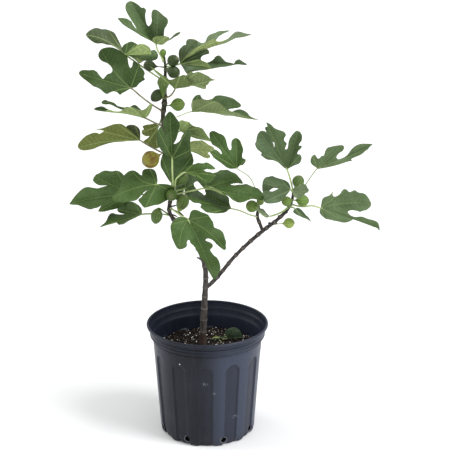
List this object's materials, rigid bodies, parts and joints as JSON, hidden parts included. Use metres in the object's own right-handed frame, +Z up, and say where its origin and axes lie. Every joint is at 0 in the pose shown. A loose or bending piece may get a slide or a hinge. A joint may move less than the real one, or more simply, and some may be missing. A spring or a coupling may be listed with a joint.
{
  "type": "potted common fig",
  "caption": "Young common fig tree in a round fluted nursery pot with drain holes, filled with potting mix: a branched stem with lobed leaves and pear-shaped figs, and a seedling beside the trunk.",
  "frame": {"origin": "Centre of the flat underside of the pot, on the pot's axis", "axes": "+Z up along the pot's axis, +X to the right of the picture's view, +Y away from the viewer; the long side branch points along +X"},
  "size_m": [0.6236, 0.2804, 0.8911],
  "materials": {
    "pot_plastic": "satin slate-blue plastic",
    "soil_mix": "loose dark peat and bark mix",
    "bark": "smooth grey-brown bark",
    "seedling": "smooth dark green",
    "leaf": "rough green with pale veins",
    "fig_green": "smooth green skin",
    "fig_bright": "smooth yellow-green skin",
    "fig_ripe": "smooth ripe skin, yellow turning brown-red"
  },
  "bodies": {
    "root": {"pot": "pot_plastic", "soil": "soil_mix", "stem": "bark", "sprout": "seedling", "leaf_crown": "leaf", "leaf_top_left": "leaf", "leaf_top_right": "leaf", "leaf_small_right": "leaf", "leaf_big_left": "leaf", "leaf_flat_left": "leaf", "leaf_long_left": "leaf", "leaf_behind_left": "leaf", "leaf_front": "leaf", "leaf_front_lower": "leaf", "leaf_flat_right": "leaf", "leaf_back_right": "leaf", "leaf_pale_right": "leaf", "leaf_mitten": "leaf", "leaf_low_front": "leaf", "leaf_right_arm": "leaf", "leaf_dark_right": "leaf", "leaf_left_of_twig": "leaf", "leaf_hanging": "leaf", "leaf_far_left": "leaf", "leaf_mid_left": "leaf", "leaf_low_left": "leaf", "leaf_branch_top": "leaf", "leaf_far_right": "leaf", "leaf_low_right": "leaf", "leaf_branch_left": "leaf", "leaf_branch_front": "leaf", "leaf_branch_low": "leaf", "leaf_twig": "leaf", "fig_bud": "fig_green", "fig_crown_right": "fig_green", "fig_under_crown": "fig_green", "fig_dark_left": "fig_green", "fig_left_upper": "fig_green", "fig_pear": "fig_green", "fig_bright": "fig_bright", "fig_ripe": "fig_ripe", "fig_low_left": "fig_green", "fig_facing": "fig_green", "fig_front_dark": "fig_green", "fig_small_right": "fig_green", "fig_tip_right": "fig_green", "fig_tip_low": "fig_green", "fig_tip_left": "fig_green", "fig_branch": "fig_bright", "fig_twig_left": "fig_green", "fig_twig_tip": "fig_green"}
  },
  "joints": []
}
